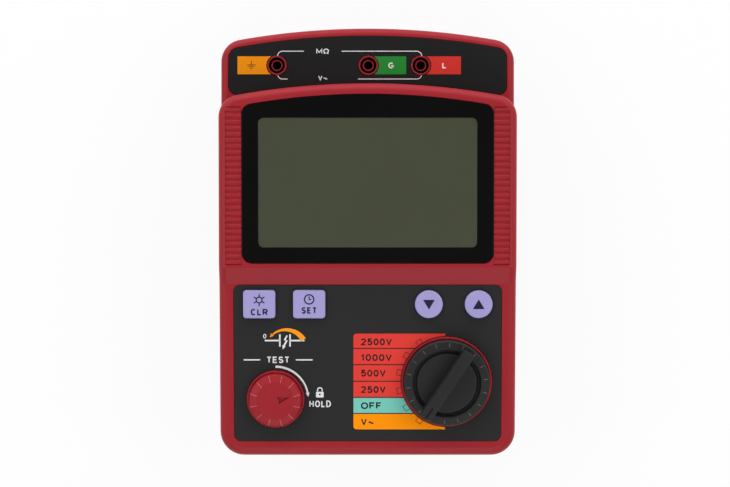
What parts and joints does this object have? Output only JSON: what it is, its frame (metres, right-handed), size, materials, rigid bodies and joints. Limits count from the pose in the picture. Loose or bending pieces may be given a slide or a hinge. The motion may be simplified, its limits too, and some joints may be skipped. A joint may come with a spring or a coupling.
{
  "type": "insulation resistance tester",
  "caption": "Wedge-shaped bench tester with test sockets, a wide display, a rotary range knob, a push-and-turn test button and sprung keys, lying on rubber feet.",
  "frame": {"origin": "middle of the case in plan, on the surface that the feet stand on", "axes": "+X to the right of the panel, +Y from the controls up to the test sockets, +Z out of the front"},
  "size_m": [0.14, 0.2034, 0.0765],
  "materials": {
    "red": "dark crimson moulded plastic with a satin sheen",
    "window": "polished plastic with a black printed border",
    "lcd": "grey-green liquid-crystal glass",
    "charcoal": "fine matt printed sheet",
    "lavender": "lavender silicone rubber",
    "black": "black satin plastic",
    "rubber": "black rubber",
    "brass": "turned brass",
    "steel": "plated steel",
    "board": "green circuit board",
    "white": "white plastic",
    "yellow": "wound core in yellow tape",
    "blue": "sleeved can",
    "cell": "plain dark cell jacket",
    "lead_red": "red insulated wire",
    "lead_black": "black insulated wire"
  },
  "bodies": {
    "case": {"front_housing": "red", "rear_housing": "red", "battery_cover": "red", "display_window": "window", "lcd_panel": "lcd", "backlight_plate": "white", "lcd_frame": "black", "control_overlay": "charcoal", "terminal_overlay": "charcoal", "detent_spring": "steel", "test_spring": "steel", "test_switch": "black", "keypad_mat": "rubber", "control_board": "board", "main_board": "board", "hv_transformer": "yellow", "hv_capacitor": "blue", "processor": "black", "buzzer": "black", "battery_tray": "black", "battery_lead_positive": "lead_red", "battery_lead_negative": "lead_black", "earth_socket": "red", "earth_contact": "brass", "guard_socket": "red", "guard_contact": "brass", "line_socket": "red", "line_contact": "brass", "case_screw_1": "steel", "foot_1": "rubber", "contact_strip_1": "steel", "case_screw_2": "steel", "foot_2": "rubber", "contact_strip_2": "steel", "case_screw_3": "steel", "foot_3": "rubber", "contact_strip_3": "steel", "case_screw_4": "steel", "foot_4": "rubber", "contact_strip_4": "steel", "cover_screw_1": "steel", "cover_screw_2": "steel", "cell_1": "cell", "cell_2": "cell", "cell_3": "cell", "cell_4": "cell", "cell_5": "cell", "cell_6": "cell", "cell_7": "cell", "cell_8": "cell"},
    "selector": {"range_knob": "black", "knob_shaft": "steel", "switch_rotor": "white"},
    "test_plunger": {"test_plunger": "black"},
    "test_cap": {"test_cap": "red"},
    "light_key": {"light_key": "lavender"},
    "timer_key": {"timer_key": "lavender"},
    "down_key": {"down_key": "lavender"},
    "up_key": {"up_key": "lavender"}
  },
  "joints": [
    {"name": "range_turn", "type": "hinge", "parent": "case", "child": "selector", "pos_m": [0.0373, -0.0663, 0.06192], "axis": [0, -0.1045, 0.9945], "range_deg": [-112.5, 0]},
    {"name": "test_press", "type": "slide", "parent": "case", "child": "test_plunger", "axis": [0, 0.1045, -0.9945], "range_m": [0, 0.003], "stiffness_N_per_m": 400, "springref_m": -0.004, "deforming": ["test_spring"]},
    {"name": "test_turn", "type": "hinge", "parent": "test_plunger", "child": "test_cap", "pos_m": [-0.0435, -0.07455, 0.06105], "axis": [0, -0.1045, 0.9945], "range_deg": [0, 76]},
    {"name": "light_key_press", "type": "slide", "parent": "case", "child": "light_key", "axis": [0, 0.1045, -0.9945], "range_m": [0, 0.001], "stiffness_N_per_m": 800, "springref_m": -0.0008},
    {"name": "timer_key_press", "type": "slide", "parent": "case", "child": "timer_key", "axis": [0, 0.1045, -0.9945], "range_m": [0, 0.001], "stiffness_N_per_m": 800, "springref_m": -0.0008},
    {"name": "down_key_press", "type": "slide", "parent": "case", "child": "down_key", "axis": [0, 0.1045, -0.9945], "range_m": [0, 0.001], "stiffness_N_per_m": 800, "springref_m": -0.0008},
    {"name": "up_key_press", "type": "slide", "parent": "case", "child": "up_key", "axis": [0, 0.1045, -0.9945], "range_m": [0, 0.001], "stiffness_N_per_m": 800, "springref_m": -0.0008}
  ]
}
